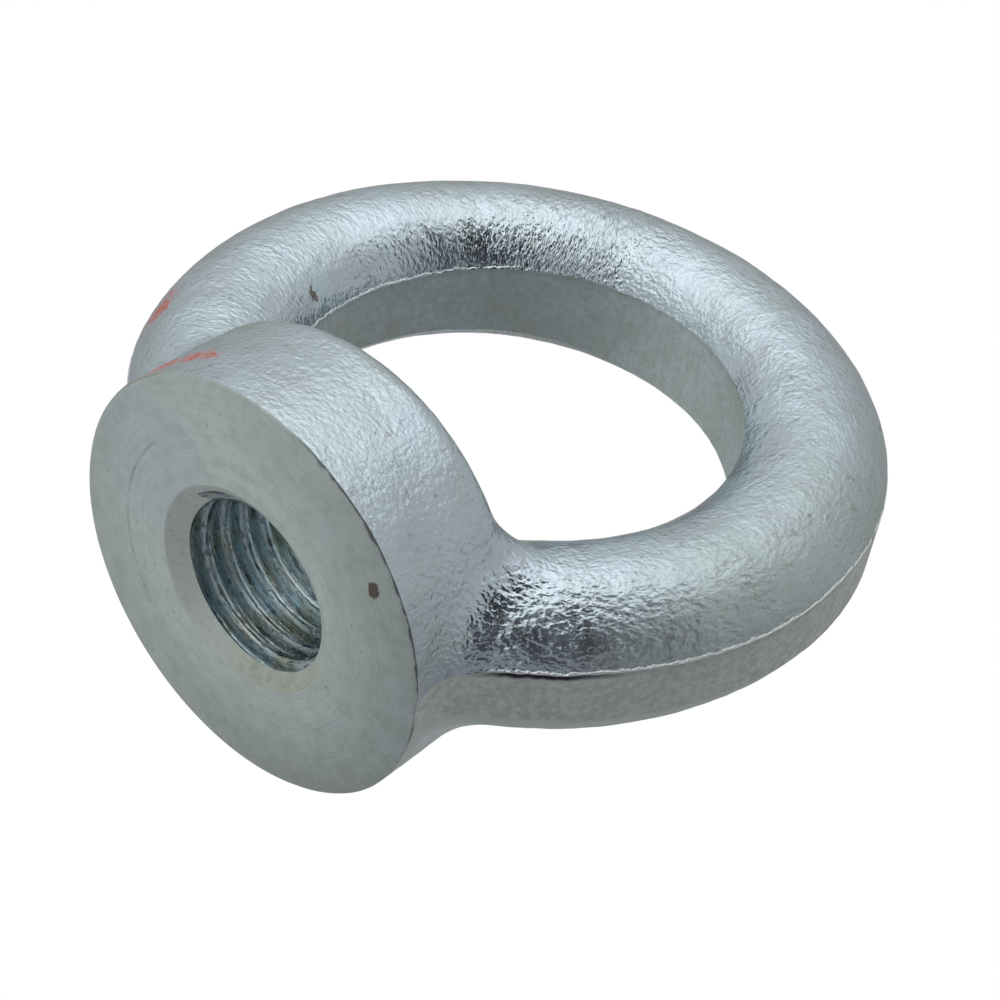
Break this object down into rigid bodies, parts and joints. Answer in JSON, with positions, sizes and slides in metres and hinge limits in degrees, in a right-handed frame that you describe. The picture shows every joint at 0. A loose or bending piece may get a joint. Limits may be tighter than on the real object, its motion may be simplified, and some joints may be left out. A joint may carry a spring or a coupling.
{
  "type": "lifting eye nut",
  "caption": "Forged steel lifting eye nut: a round collar with a tapped hole and a flat seat, joined by two blended arms to a closed ring that takes a hook or shackle.",
  "frame": {"origin": "centre of the machined seat face, on the axis of the tapped hole", "axes": "+Z along the tapped hole, from the seat face to the crown of the ring; the ring lies in the XZ plane and the eye opens along Y"},
  "size_m": [0.063, 0.035, 0.062],
  "materials": {
    "zinc_plated_steel": "blasted drop forging with a worn zinc coat, a machined seat face, specks of rust and traces of red paint"
  },
  "bodies": {
    "root": {"eye_nut": "zinc_plated_steel"}
  },
  "joints": []
}
